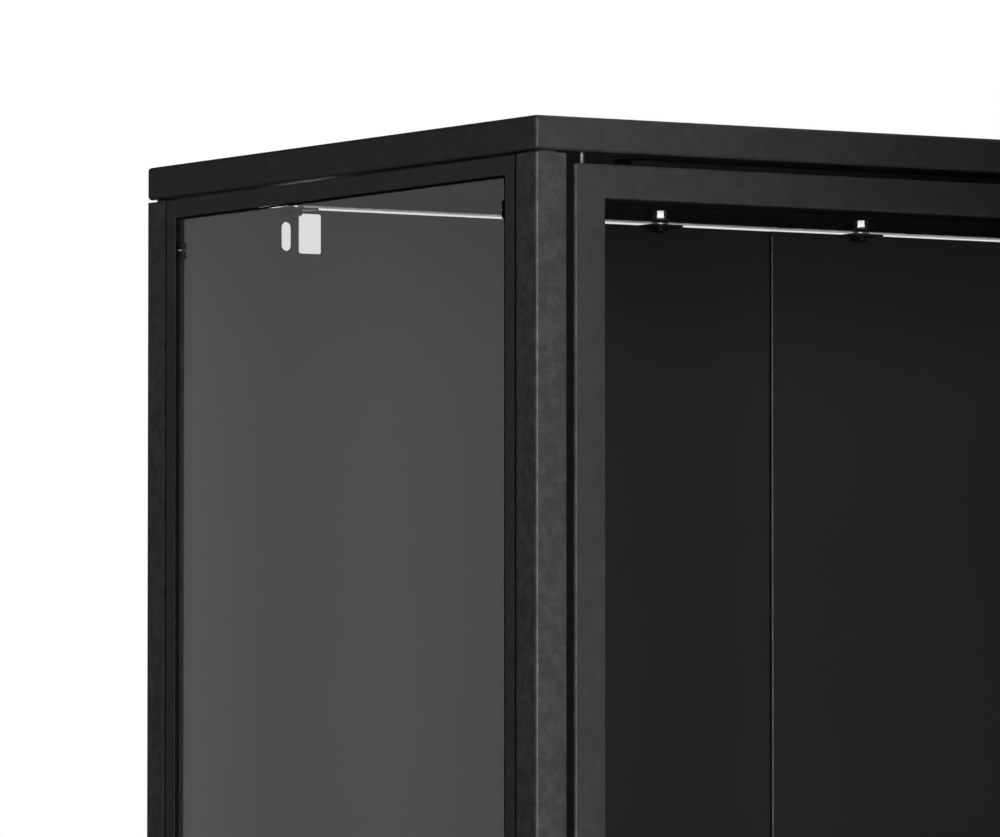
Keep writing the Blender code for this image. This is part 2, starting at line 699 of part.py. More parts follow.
def make_door_stop():
    """The angle behind the doors' top rails, and its magnetic catches."""
    near = FRONT + DOOR_DEPTH + GAP
    top = TOP_UNDER - GAP
    bend = [(near + STOP_BEND * (1 - math.sin(angle)),
             top - STOP_BEND * (1 - math.cos(angle)))
            for angle in (0, math.pi / 6, math.pi / 3, math.pi / 2)]
    outline = bend + [(near, top - STOP_DROP), (near + SHEET, top - STOP_DROP),
                      (near + SHEET, top - STOP_BEND), (near + STOP_BEND, top - SHEET),
                      (near + STOP_LEG, top - SHEET), (near + STOP_LEG, top)]
    stop = add_object("door_stop",
                      extruded_mesh(outline, WIDTH - 2 * STOP_FROM_SIDE, "+X"),
                      SHEET_BLACK)
    z = TOP_UNDER - CATCH_DROP
    body_near = near + SHEET + GAP
    half_pole = POLE_WIDTH / 2
    half_body = CATCH_WIDTH / 2
    for side in (-1, 1):
        label = side_name(side)
        x = side * CATCH_FROM_CENTRE
        cut_box(stop, f"catch_window_{label}",
                (x - half_pole - GAP, near - SHEET, z - CATCH_HEIGHT / 2 - GAP),
                (x + half_pole + GAP, near + 2 * SHEET, z + CATCH_HEIGHT / 2 + GAP))
        profile = [(-half_body, body_near), (-half_pole, body_near),
                   (-half_pole, near), (half_pole, near),
                   (half_pole, body_near), (half_body, body_near),
                   (half_body, body_near + CATCH_DEPTH),
                   (-half_body, body_near + CATCH_DEPTH)]
        add_object(f"magnetic_catch_{label}", extruded_mesh(profile, CATCH_HEIGHT),
                   MAGNET_GREY, (x, 0, z))


def make_shelves():
    """Glass shelves on pairs of steel angle rails between the posts."""
    half_width = HALF_W - POST - SHELF_SIDE_GAP
    front = FRONT + DOOR_DEPTH + SHELF_FRONT_GAP
    back = BACK_FACE - SHELF_BACK_GAP
    rail_length = DEPTH - 2 * POST - 2 * GAP
    outer = HALF_W - RAIL_FROM_SIDE
    for number in range(1, SHELF_COUNT + 1):
        seat = FLOOR_TOP + number * SHELF_PITCH
        box(f"shelf_{number}", (-half_width, front, seat + GAP),
            (half_width, back, seat + GAP + SHELF_GLASS), CLEAR_GLASS, GLASS_EDGE)
        for side in (-1, 1):
            profile = [(side * x, z) for x, z in (
                (outer, 0), (outer, -RAIL_DROP), (outer - RAIL_SHEET, -RAIL_DROP),
                (outer - RAIL_SHEET, -RAIL_SHEET), (outer - RAIL_LEG, -RAIL_SHEET),
                (outer - RAIL_LEG, 0))]
            rail = add_object(f"shelf_rail_{number}_{side_name(side)}",
                              extruded_mesh(profile, rail_length, "-Y"),
                              POWDER_BLACK, (0, 0, seat))
            cut_box(rail, f"door_clearance_{number}_{side_name(side)}",
                    (side * (outer - 2 * RAIL_LEG), FRONT, seat - RAIL_SHEET - GAP),
                    (side * (HALF_W - RAIL_NOTCH), front, seat + GAP))


def main():
    clear_scene()
    make_posts()
    make_top_panel()
    make_bottom_panel()
    make_back()
    make_top_bolts()
    make_sides()
    make_door(-1)
    make_door(1)
    make_pivots()
    make_door_stop()
    make_shelves()


main()
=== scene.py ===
"""Finish, fittings and studio of a steel display cabinet with two glass doors."""

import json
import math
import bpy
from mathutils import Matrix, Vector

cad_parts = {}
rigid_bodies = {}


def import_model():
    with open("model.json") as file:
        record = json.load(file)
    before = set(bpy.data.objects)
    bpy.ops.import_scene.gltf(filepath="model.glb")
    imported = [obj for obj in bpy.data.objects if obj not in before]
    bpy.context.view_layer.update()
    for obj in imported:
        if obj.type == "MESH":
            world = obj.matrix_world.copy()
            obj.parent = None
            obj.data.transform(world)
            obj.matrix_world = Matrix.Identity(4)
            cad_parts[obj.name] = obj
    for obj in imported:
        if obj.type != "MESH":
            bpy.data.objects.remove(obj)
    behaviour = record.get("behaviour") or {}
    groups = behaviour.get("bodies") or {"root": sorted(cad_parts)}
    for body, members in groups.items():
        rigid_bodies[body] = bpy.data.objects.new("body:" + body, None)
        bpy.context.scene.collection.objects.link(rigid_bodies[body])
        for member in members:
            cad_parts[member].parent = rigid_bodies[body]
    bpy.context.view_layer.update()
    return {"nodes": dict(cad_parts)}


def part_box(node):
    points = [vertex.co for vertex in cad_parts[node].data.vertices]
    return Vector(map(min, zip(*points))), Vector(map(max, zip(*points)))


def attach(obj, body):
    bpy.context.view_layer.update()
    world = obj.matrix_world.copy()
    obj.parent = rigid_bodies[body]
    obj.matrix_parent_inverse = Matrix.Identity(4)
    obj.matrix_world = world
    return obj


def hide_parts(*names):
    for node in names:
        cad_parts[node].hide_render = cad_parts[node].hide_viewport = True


bl_info = {
    "name": "Steel Display Cabinet",
    "version": (1, 0, 0),
    "blender": (4, 5, 0),
    "location": "View3D > Sidebar > Cabinet",
    "description": "Builds the finish, fittings and studio of a steel display cabinet",
    "category": "Object",
}

import bmesh
import bpy
from bpy.props import FloatProperty, FloatVectorProperty, IntProperty, PointerProperty
from bpy.types import Operator, Panel, PropertyGroup
from mathutils import Matrix, Vector

for leftover in list(bpy.data.objects):
    bpy.data.objects.remove(leftover)

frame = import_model()
SIDES = {"left": -1, "right": 1}

# Sizes in metres, of details too fine to be settings
PLAY = 0.0003               # gap between parts that touch
BORE = 0.0021               # radius of the holes in nuts, washers and bushes
PLUG_DEPTH = 0.030          # hollow at each end of a post tube
STEM_RADIUS = 0.0005        # stem that holds a pane clip in the side frame
BACK_FLANGE = 0.0065        # rim folded backwards round each back sheet
STRIP_SINK = 0.0010         # part of a strip that lies inside the back sheet
STRIP_FOOT = 0.0010         # a strip stops this far above the sheet's foot
STRIP_HEAD = 0.0030         # and this far below its head
SEAM_HIGHLIGHT = (0.0003, 0.0012)     # the painted highlight strip at the seam, from the sheet's edge
SEAM_HIGHLIGHT_PROUD = 0.0002
FOLD_FROM_SIDE = 0.0048     # middle of the fold beside each rear post
FOLD_HALF = 0.0006
FOLD_PROUD = 0.0005
HEAD_RADIUS = 0.0040        # pan head of the top bolts
HEAD_HEIGHT = 0.0030
WASHER_RADIUS = 0.0045
WASHER_HEIGHT = 0.0009
WASHER_DROP = 0.0012        # foot of the washer below the underside of the top's lip
PIN_RADIUS = 0.0020
PIN_HEAD = 0.0025           # height of a pivot pin's head


class CabinetSteel(PropertyGroup):
    """Sizes and colours of the powder-coated steel."""

    coat_colour: FloatVectorProperty(
        name="Powder colour", description="Colour of the black powder coat",
        subtype="COLOR", size=3, min=0.0, max=1.0, default=(0.0085, 0.0085, 0.0092))
    sheet_colour: FloatVectorProperty(
        name="Sheet colour", description="Powder colour on the top, floor and back",
        subtype="COLOR", size=3, min=0.0, max=1.0, default=(0.0085, 0.0085, 0.0086))
    grain: FloatProperty(
        name="Grain", description="Size of one grain of the powder texture",
        default=0.0007, min=0.0001, unit="LENGTH")
    coat_roughness: FloatProperty(
        name="Roughness", description="Mean roughness of the powder coat",
        default=0.52, min=0.05, max=1.0)
    coat_shine: FloatProperty(
        name="Shine", description="Specular level of the powder coat",
        default=0.15, min=0.0, max=1.0)
    sheet: FloatProperty(
        name="Sheet", description="Thickness of the folded sheet steel",
        default=0.0012, min=0.0005, unit="LENGTH")
    fold: FloatProperty(
        name="Fold", description="Outer radius of the folds round the top",
        default=0.0022, min=0.0002, unit="LENGTH")
    tube: FloatProperty(
        name="Tube corner", description="Corner radius of the square post tube",
        default=0.0020, min=0.0002, unit="LENGTH")
    return_lip: FloatProperty(
        name="Return lip", description="Width of the top's folded-in lips",
        default=0.018, min=0.002, unit="LENGTH")
    front_lip: FloatProperty(
        name="Front lip", description="Width of the top's front lip, which carries the pins",
        default=0.040, min=0.002, unit="LENGTH")
    steps: IntProperty(
        name="Steps", description="Segments in each rounded edge",
        default=4, min=1, max=12)


class CabinetDoors(PropertyGroup):
    """Sizes of the glazed frames."""

    stile: FloatProperty(
        name="Stile", description="Width of the door's uprights",
        default=0.0195, min=0.004, unit="LENGTH")
    rail: FloatProperty(
        name="Rail", description="Width of the door's cross bars",
        default=0.0180, min=0.004, unit="LENGTH")
    edge: FloatProperty(
        name="Door edge", description="Rounding of the door frame's edges",
        default=0.0016, min=0.0002, unit="LENGTH")
    side_bar: FloatProperty(
        name="Side bar", description="Width of the slim side frame's bars",
        default=0.0100, min=0.002, unit="LENGTH")
    side_edge: FloatProperty(
        name="Side edge", description="Rounding of the side frame's edges",
        default=0.0007, min=0.0001, unit="LENGTH")
    seal_lip: FloatProperty(
        name="Seal lip", description="How far the door seal stands into the opening",
        default=0.0015, min=0.0003, unit="LENGTH")
    seal_wall: FloatProperty(
        name="Seal wall", description="Wall of the rubber channel round the glass",
        default=0.0010, min=0.0003, unit="LENGTH")
    glass_tint: FloatVectorProperty(
        name="Glass tint", description="Colour of the clear glass",
        subtype="COLOR", size=3, min=0.0, max=1.0, default=(0.82, 0.82, 0.82))


class CabinetFittings(PropertyGroup):
    """Sizes of the small parts."""

    flats: FloatProperty(
        name="Flats", description="Nut size across its flats",
        default=0.0070, min=0.002, unit="LENGTH")
    thread: FloatProperty(
        name="Thread", description="Diameter of the top bolts",
        default=0.0040, min=0.001, unit="LENGTH")
    pitch: FloatProperty(
        name="Pitch", description="Distance between thread crests",
        default=0.0007, min=0.0002, unit="LENGTH")
    clip_head: FloatProperty(
        name="Clip head", description="How far a pane clip stands into the opening",
        default=0.0024, min=0.0005, unit="LENGTH")
    clip_bar: FloatProperty(
        name="Clip bar", description="Diameter of the steel bar across a pane clip",
        default=0.0007, min=0.0002, unit="LENGTH")
    round_sides: IntProperty(
        name="Round sides", description="Facets round each turned part",
        default=48, min=12, max=128)
    zinc_colour: FloatVectorProperty(
        name="Zinc", description="Colour of the zinc-plated fasteners",
        subtype="COLOR", size=3, min=0.0, max=1.0, default=(0.78, 0.79, 0.81))


class CabinetStudio(PropertyGroup):
    """Camera, lamps and floor."""

    eye: FloatVectorProperty(
        name="Camera place", description="Where the camera stands",
        subtype="TRANSLATION", size=3, default=(-3.3689, -4.9636, 1.3148))
    heading: FloatProperty(
        name="Heading", description="Turn of the camera towards +X from straight ahead",
        subtype="ANGLE", default=math.radians(31.755))
    tilt: FloatProperty(
        name="Tilt", description="Upward tilt of the camera",
        subtype="ANGLE", default=math.radians(3.339))
    lens: FloatProperty(
        name="Lens", description="Focal length in millimetres on a 36 mm sensor",
        default=391.55, min=1.0)
    floor_colour: FloatVectorProperty(
        name="Floor", description="Colour of the studio floor",
        subtype="COLOR", size=3, min=0.0, max=1.0, default=(0.80, 0.80, 0.80))
    fill: FloatProperty(
        name="Fill", description="Strength of the soft light from all round",
        default=0.09, min=0.0)
    key: FloatProperty(
        name="Key", description="Power of the softbox near the left front corner",
        default=5.8, min=0.0, unit="POWER")
    side: FloatProperty(
        name="Side", description="Power of the softbox to the left",
        default=0.8, min=0.0, unit="POWER")
    spark: FloatProperty(
        name="Spark", description="Power of the softbox for nuts and clip bars only",
        default=170.0, min=0.0, unit="POWER")
    right: FloatProperty(
        name="Right", description="Power of the softbox to the right",
        default=14.0, min=0.0, unit="POWER")
    rear: FloatProperty(
        name="Rear", description="Power of the softbox behind the cabinet",
        default=55.0, min=0.0, unit="POWER")
    inner: FloatProperty(
        name="Inner", description="Power of the softbox for the back sheets only",
        default=130.0, min=0.0, unit="POWER")
    overhead: FloatProperty(
        name="Overhead", description="Power of the large softbox above",
        default=235.0, min=0.0, unit="POWER")


# ---------------------------------------------------------------- materials


def add_node(tree, kind, inputs=None, **settings):
    """Adds a node, then sets or links its inputs."""
    made = tree.nodes.new(kind)
    for key, value in settings.items():
        setattr(made, key, value)
    for key, value in (inputs or {}).items():
        if isinstance(value, bpy.types.NodeSocket):
            tree.links.new(value, made.inputs[key])
        else:
            made.inputs[key].default_value = value
    return made


def new_material(name):
    """A material with its tree, its Principled shader and the object coordinates."""
    material = bpy.data.materials.new(name)
    material.use_nodes = True
    tree = material.node_tree
    place = add_node(tree, "ShaderNodeTexCoord").outputs["Object"]
    return material, tree, tree.nodes["Principled BSDF"], place


def noise(tree, place, size, detail=2.0, rough=0.5):
    """A noise whose features are about size metres across."""
    made = add_node(tree, "ShaderNodeTexNoise",
                    {"Vector": place, "Scale": 1.0 / size, "Detail": detail,
                     "Roughness": rough})
    return made.outputs["Fac"]


def spread(tree, value, low, high, to_low, to_high):
    """Maps a value from one range to another."""
    made = add_node(tree, "ShaderNodeMapRange",
                    {"Value": value, "From Min": low, "From Max": high,
                     "To Min": to_low, "To Max": to_high})
    return made.outputs["Result"]


def blend_colours(tree, factor, first, second):
    """Mixes two colours."""
    made = add_node(tree, "ShaderNodeMix", data_type="RGBA")
    for socket, value in ((made.inputs[0], factor), (made.inputs[6], first),
                          (made.inputs[7], second)):
        if isinstance(value, bpy.types.NodeSocket):
            tree.links.new(value, socket)
        elif socket.type == "RGBA":
            socket.default_value = (*value, 1.0)
        else:
            socket.default_value = value
    return made.outputs[2]


def shade(colour, share):
    """A colour made lighter or darker."""
    return tuple(min(1.0, part * share) for part in colour)


def powder_coat(name, colour, roughness, shine, grain, swing=0.5, texture=0.35):
    """Textured powder coat: fine grain, faint clouds and painted highlights on the bent
    edges.
    """
    material, tree, shader, place = new_material(name)
    speckle = noise(tree, place, grain, 3.0, 0.65)
    cloud = noise(tree, place, 0.16, 2.0)
    highlight_noise = noise(tree, place, 0.006, 4.0, 0.7)
    grained = blend_colours(tree, spread(tree, speckle, 0.32, 0.68, 0.0, 1.0),
                            shade(colour, 1.0 - swing), shade(colour, 1.0 + swing))
    clouded = blend_colours(tree, spread(tree, cloud, 0.35, 0.65, 0.0, 0.04),
                            grained, shade(colour, 1.6))
    # Bent edges are painted lighter and made smoother: a painted highlight, broken up by
    # noise.
    edge = add_node(tree, "ShaderNodeAttribute", attribute_name="bend").outputs["Fac"]
    edge_highlight = add_node(tree, "ShaderNodeMath",
                    {0: edge, 1: spread(tree, highlight_noise, 0.40, 0.62, 0.1, 0.9)},
                    operation="MULTIPLY").outputs[0]
    tree.links.new(blend_colours(tree, edge_highlight, clouded, shade(colour, 2.4)),
                   shader.inputs["Base Color"])
    patchy = add_node(tree, "ShaderNodeMath",
                      {0: spread(tree, speckle, 0.3, 0.7, -0.05, 0.06),
                       1: spread(tree, cloud, 0.3, 0.7, roughness - 0.012,
                                 roughness + 0.012)},
                      operation="ADD").outputs[0]
    smoothed = add_node(tree, "ShaderNodeMath",
                        {0: patchy, 1: spread(tree, edge_highlight, 0.0, 1.0, 0.0, 0.10)},
                        operation="SUBTRACT").outputs[0]
    tree.links.new(smoothed, shader.inputs["Roughness"])
    bump = add_node(tree, "ShaderNodeBump",
                    {"Strength": texture, "Distance": grain * 0.12, "Height": speckle})
    tree.links.new(bump.outputs["Normal"], shader.inputs["Normal"])
    shader.inputs["Specular IOR Level"].default_value = shine
    return material


def zinc_plate(name, colour, roughness):
    """Zinc plating with faint bloom and tool marks."""
    material, tree, shader, place = new_material(name)
    bloom = noise(tree, place, 0.0022, 3.0, 0.6)
    marks = noise(tree, place, 0.0003, 2.0)
    tree.links.new(blend_colours(tree, spread(tree, bloom, 0.35, 0.65, 0.0, 1.0),
                                 colour, shade(colour, 0.78)),
                   shader.inputs["Base Color"])
    tree.links.new(spread(tree, bloom, 0.3, 0.7, roughness - 0.08, roughness + 0.08),
                   shader.inputs["Roughness"])
    bump = add_node(tree, "ShaderNodeBump",
                    {"Strength": 0.2, "Distance": 0.00002, "Height": marks})
    tree.links.new(bump.outputs["Normal"], shader.inputs["Normal"])
    shader.inputs["Metallic"].default_value = 1.0
    return material


def moulded(name, colour, roughness, grain, depth, shine=0.35):
    """Moulded rubber or plastic with a fine skin and faint flow marks."""
    material, tree, shader, place = new_material(name)
    skin = noise(tree, place, grain, 3.0, 0.6)
    flow = noise(tree, place, 0.012, 2.0)
    tree.links.new(blend_colours(tree, spread(tree, flow, 0.3, 0.7, 0.0, 1.0),
                                 shade(colour, 0.75), shade(colour, 1.3)),
                   shader.inputs["Base Color"])
    tree.links.new(spread(tree, skin, 0.3, 0.7, roughness - 0.08, roughness + 0.08),
                   shader.inputs["Roughness"])
    bump = add_node(tree, "ShaderNodeBump",
                    {"Strength": 0.4, "Distance": depth, "Height": skin})
    tree.links.new(bump.outputs["Normal"], shader.inputs["Normal"])
    shader.inputs["Specular IOR Level"].default_value = shine
    return material


def clear_glass(name, tint):
    """Float glass with the faintest film, clear to the light of lamps."""
    material, tree, shader, place = new_material(name)
    film = noise(tree, place, 0.09, 3.0, 0.6)
    tree.links.new(blend_colours(tree, spread(tree, film, 0.35, 0.65, 0.0, 1.0),
                                 tint, shade(tint, 0.97)),
                   shader.inputs["Base Color"])
    shader.inputs["Roughness"].default_value = 0.0
    shader.inputs["IOR"].default_value = 1.5
    shader.inputs["Transmission Weight"].default_value = 1.0
    path = add_node(tree, "ShaderNodeLightPath")
    passing = add_node(tree, "ShaderNodeMath",
                       {0: path.outputs["Is Glossy Ray"],
                        1: path.outputs["Is Transmission Ray"]},
                       operation="SUBTRACT").outputs[0]
    for kind in ("Is Shadow Ray", "Is Diffuse Ray"):
        passing = add_node(tree, "ShaderNodeMath",
                           {0: passing, 1: path.outputs[kind]},
                           operation="MAXIMUM").outputs[0]
    open_side = add_node(tree, "ShaderNodeBsdfTransparent",
                         {"Color": (*shade(tint, 0.95), 1.0)})
    both = add_node(tree, "ShaderNodeMixShader",
                    {0: passing, 1: shader.outputs[0], 2: open_side.outputs[0]})
    tree.links.new(both.outputs[0], tree.nodes["Material Output"].inputs["Surface"])
    return material


def finishes():
    """The cabinet's materials by name, made once."""
    if "post_coat" in bpy.data.materials:
        return bpy.data.materials
    steel = bpy.context.scene.cabinet_steel
    doors = bpy.context.scene.cabinet_doors
    fittings = bpy.context.scene.cabinet_fittings
    powder_coat("post_coat", tuple(steel.coat_colour), steel.coat_roughness,
                steel.coat_shine, steel.grain)
    powder_coat("door_coat", shade(steel.coat_colour, 0.95),
                steel.coat_roughness + 0.02, steel.coat_shine, steel.grain)
    powder_coat("top_coat", tuple(steel.sheet_colour), steel.coat_roughness + 0.02,
                steel.coat_shine, steel.grain)
    powder_coat("back_coat", tuple(steel.sheet_colour),
                steel.coat_roughness + 0.08, steel.coat_shine, steel.grain, 0.2, 0.10)
    # painted shade: the door stop in the gap under the top gets the sheet colour at a third,
    # with little shine
    powder_coat("stop_coat", shade(steel.sheet_colour, 0.35), steel.coat_roughness + 0.1,
                0.05, steel.grain)
    # painted highlight: the coat nine times lighter and shinier, for the light caught at the
    # seam between the back sheets
    powder_coat("cut_edge", shade(steel.sheet_colour, 9.0), steel.coat_roughness,
                0.5, steel.grain, 0.2)
    zinc_plate("bright_zinc", tuple(fittings.zinc_colour), 0.34)
    # painted shade: a rougher copy of the zinc darkened to 7 percent, for the pivot pins and
    # pole plates
    zinc_plate("dull_zinc", shade(fittings.zinc_colour, 0.07), 0.46)
    zinc_plate("black_oxide", shade(fittings.zinc_colour, 0.04), 0.45)
    moulded("black_seal", (0.0015, 0.0015, 0.0015), 0.85, 0.0004, 0.00002, 0.03)
    moulded("black_foot", (0.010, 0.010, 0.010), 0.60, 0.0006, 0.00002, 0.15)
    moulded("catch_case", (0.022, 0.022, 0.023), 0.42, 0.0005, 0.00001)
    clear_glass("pane_glass", tuple(doors.glass_tint))
    return bpy.data.materials


# ------------------------------------------------------------------- shapes


def block(bm, low, high):
    """Adds a box between two corners."""
    made = bmesh.ops.create_cube(bm, size=1.0)["verts"]
    low, high = Vector(low), Vector(high)
    bmesh.ops.scale(bm, vec=high - low, verts=made)
    bmesh.ops.translate(bm, vec=(low + high) / 2, verts=made)


def facing(bm, axis, way):
    """The largest face that looks along an axis, forwards or backwards."""
    bm.normal_update()
    looking = [face for face in bm.faces if face.normal[axis] * way > 0.99]
    return max(looking, key=lambda face: face.calc_area())


def lift(bm, face):
    """Extrudes a face in place and returns the new one, without the old."""
    grown = bmesh.ops.extrude_face_region(bm, geom=[face])["geom"]
    if face.is_valid:
        bmesh.ops.delete(bm, geom=[face], context="FACES_ONLY")
    return next(part for part in grown if isinstance(part, bmesh.types.BMFace))


def carve(bm, face, stations):
    """Extrudes a four-sided face through flat rectangles, each (low, high)."""
    for low, high in stations:
        face = lift(bm, face)
        centre = face.calc_center_median()
        for corner in face.verts:
            corner.co = [low[axis] if corner.co[axis] < centre[axis] else high[axis]
                         for axis in range(3)]
    return face


def pierce(bm, axis, stations):
    """Cuts an opening right through a box, from its high side to its low side."""
    near = facing(bm, axis, 1)
    far = facing(bm, axis, -1)
    last = carve(bm, near, stations)
    twin = carve(bm, far, stations[-1:])
    bmesh.ops.delete(bm, geom=[last, twin], context="FACES_ONLY")
    bmesh.ops.remove_doubles(bm, verts=bm.verts, dist=1e-7)


def round_off(bm, radius, steps, chosen=None):
    """Rounds every edge that turns, or only those that chosen accepts."""
    bmesh.ops.recalc_face_normals(bm, faces=bm.faces)
    edges = [edge for edge in bm.edges
             if len(edge.link_faces) == 2 and edge.calc_face_angle() > 0.3
             and (chosen is None or chosen(edge))]
    bmesh.ops.bevel(bm, geom=edges, offset=radius, offset_type="OFFSET",
                    affect="EDGES", segments=steps, profile=0.5, material=-1,
                    clamp_overlap=True)


def turned(bm, profile, foot, tip=(0, 0, 1), sides=None):
    """Spins a profile of (radius, height) round a line from foot towards tip."""
    before = set(bm.verts)
    chain = [bm.verts.new((radius, 0.0, height)) for radius, height in profile]
    edges = [bm.edges.new(pair) for pair in zip(chain, chain[1:])]
    steps = sides or bpy.context.scene.cabinet_fittings.round_sides
    bmesh.ops.spin(bm, geom=chain + edges, cent=(0, 0, 0), axis=(0, 0, 1),
                   dvec=(0, 0, 0), angle=2 * math.pi, steps=steps, use_merge=True)
    made = [vert for vert in bm.verts if vert not in before]
    lean = Vector(tip).to_track_quat("Z", "Y").to_matrix().to_4x4()
    bmesh.ops.transform(bm, matrix=Matrix.Translation(foot) @ lean, verts=made)


def on_box(vert, low, high, axes=(0, 1, 2)):
    """True if a vertex lies on a wall of a box, among the given axes."""
    return any(abs(vert.co[axis] - wall[axis]) < 1e-6
               for axis in axes for wall in (low, high))


def flat(low, high, axis, at):
    """The rectangle of a box at one height along an axis, as (low, high)."""
    low, high = list(low), list(high)
    low[axis] = high[axis] = at
    return low, high


def shrunk(low, high, margins):
    """A box pulled in on each side by margins along x, y and z."""
    return (Vector(a + m for a, m in zip(low, margins)),
            Vector(b - m for b, m in zip(high, margins)))


def note_bends(mesh):
    """Stores how far the surface bends at each vertex, where the coat gets a painted
    highlight.
    """
    bends = []
    probe = bmesh.new()
    probe.from_mesh(mesh)
    for vert in probe.verts:
        angles = [edge.calc_face_angle() for edge in vert.link_edges
                  if len(edge.link_faces) == 2]
        bends.append(min(1.0, max(angles, default=0.0) / 0.6))
    probe.free()
    mesh.attributes.new("bend", "FLOAT", "POINT").data.foreach_set("value", bends)


def put(name, bm, body, finish, nodes=(), smooth_below=40.0):
    """Turns a bmesh into a finished piece that rides on a body."""
    bmesh.ops.remove_doubles(bm, verts=bm.verts, dist=1e-6)
    bmesh.ops.recalc_face_normals(bm, faces=bm.faces)
    mesh = bpy.data.meshes.new(name)
    bm.to_mesh(mesh)
    bm.free()
    mesh.materials.append(finishes()[finish])
    mesh.shade_smooth()
    mesh.set_sharp_from_angle(angle=math.radians(smooth_below))
    note_bends(mesh)
    piece = bpy.data.objects.new(name, mesh)
    bpy.context.scene.collection.objects.link(piece)
    even = piece.modifiers.new("even_shading", "WEIGHTED_NORMAL")
    even.keep_sharp = True
    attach(piece, body)
    if nodes:
        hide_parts(*nodes)
    return piece


def coat(node, finish):
    """Gives a carried-over node one of the cabinet's finishes."""
    for holder in frame["nodes"][node].material_slots:
        holder.material = finishes()[finish]


# ---------------------------------------------------------------- operators


class BuildPanels(Operator):
    """Folds the top from sheet steel and coats the floor panel"""

    bl_idname = "cabinet.panels"
    bl_label = "Top and Floor"

    def execute(self, context):
        steel = context.scene.cabinet_steel
        low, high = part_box("top_panel")
        bm = bmesh.new()
        block(bm, low, high)
        mouth = shrunk(low, high, (steel.return_lip, steel.return_lip, 0))
        mouth[0].y = low.y + steel.front_lip
        room = shrunk(low, high, (steel.sheet, steel.sheet, steel.sheet))
        carve(bm, facing(bm, 2, -1), (
            flat(*mouth, 2, low.z), flat(*mouth, 2, low.z + steel.sheet),
            flat(*room, 2, low.z + steel.sheet), flat(*room, 2, room[1].z)))
        round_off(bm, steel.fold, steel.steps, lambda edge: all(
            on_box(vert, low, high, (0, 1)) for vert in edge.verts))
        put("steel_top", bm, "cabinet", "top_coat", ("top_panel",))
        coat("bottom_panel", "top_coat")
        return {"FINISHED"}


class BuildPosts(Operator):
    """Cuts the four square tube posts and finishes their plugs and feet"""

    bl_idname = "cabinet.posts"
    bl_label = "Posts and Feet"

    def execute(self, context):
        steel = context.scene.cabinet_steel
        for row in ("front", "rear"):
            for side in SIDES:
                low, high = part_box(f"post_{row}_{side}")
                bm = bmesh.new()
                block(bm, low, high)
                round_off(bm, steel.tube, steel.steps + 2, lambda edge: abs(
                    edge.verts[0].co.z - edge.verts[1].co.z) > 0.1)
                for way in (-1, 1):
                    end = facing(bm, 2, way)
                    bmesh.ops.inset_region(bm, faces=[end], thickness=steel.sheet,
                                           use_even_offset=True)
                    bmesh.ops.translate(bm, vec=(0, 0, -way * PLUG_DEPTH),
                                        verts=lift(bm, end).verts)
                put(f"tube_post_{row}_{side}", bm, "cabinet",
                    "post_coat", (f"post_{row}_{side}",))
                coat(f"foot_{row}_{side}", "black_foot")
                coat(f"top_plug_{row}_{side}", "black_foot")
        return {"FINISHED"}


class BuildSideFrames(Operator):
    """Makes the slim side frames with their clips, and finishes seals and panes"""

    bl_idname = "cabinet.side_frames"
    bl_label = "Side Frames"

    def execute(self, context):
        steel = context.scene.cabinet_steel
        doors = context.scene.cabinet_doors
        for side in SIDES:
            low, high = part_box(f"side_frame_{side}")
            bm = bmesh.new()
            block(bm, low, high)
            hole = shrunk(low, high, (0, doors.side_bar, doors.side_bar))
            pierce(bm, 0, (flat(*hole, 0, high.x), flat(*hole, 0, low.x)))
            round_off(bm, doors.side_edge, steel.steps)
            put(f"side_bars_{side}", bm, "cabinet", "post_coat",
                (f"side_frame_{side}",))
            coat(f"side_seal_{side}", "black_seal")
            coat(f"side_glass_{side}", "pane_glass")
            for row, end in (("front", -1), ("rear", 1)):
                for level in ("top", "bottom"):
                    self.clip(f"{side}_{row}_{level}", end)
        return {"FINISHED"}

    def clip(self, label, end):
        """A rubber clip with rounded ends, its stem in the frame, and its steel bar."""
        fittings = bpy.context.scene.cabinet_fittings
        low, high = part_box(f"side_clip_{label}")
        tip, root = (low.y, high.y) if end > 0 else (high.y, low.y)
        neck = tip + end * fittings.clip_head
        front = tip + end * fittings.clip_bar * 0.6
        bm = bmesh.new()
        block(bm, (low.x, min(front, neck), low.z), (high.x, max(front, neck), high.z))
        round_off(bm, fittings.clip_head * 0.42, 4, lambda edge: abs(
            edge.verts[0].co.x - edge.verts[1].co.x) > 0.001)
        round_off(bm, 0.0002, 2)
        stem = abs(root - neck)
        centre = Vector(((low.x + high.x) / 2, neck - end * 0.0001, (low.z + high.z) / 2))
        turned(bm, [(0, 0), (STEM_RADIUS, 0), (STEM_RADIUS, stem - 0.0002),
                    (STEM_RADIUS - 0.0002, stem), (0, stem)], centre, (0, end, 0), 20)
        put(f"oval_clip_{label}", bm, "cabinet", "black_seal",
            (f"side_clip_{label}",), 35.0)
        bm = bmesh.new()
        reach = fittings.clip_bar / 2
        length = high.x - low.x - 0.0001
        turned(bm, [(0, 0), (reach * 0.8, 0), (reach, reach * 0.2),
                    (reach, length - reach * 0.2), (reach * 0.8, length), (0, length)],
               (low.x + 0.00005, tip + end * (reach + 0.00002), centre.z), (1, 0, 0), 16)
        put(f"clip_bar_{label}", bm, "cabinet", "bright_zinc", (), 35.0)


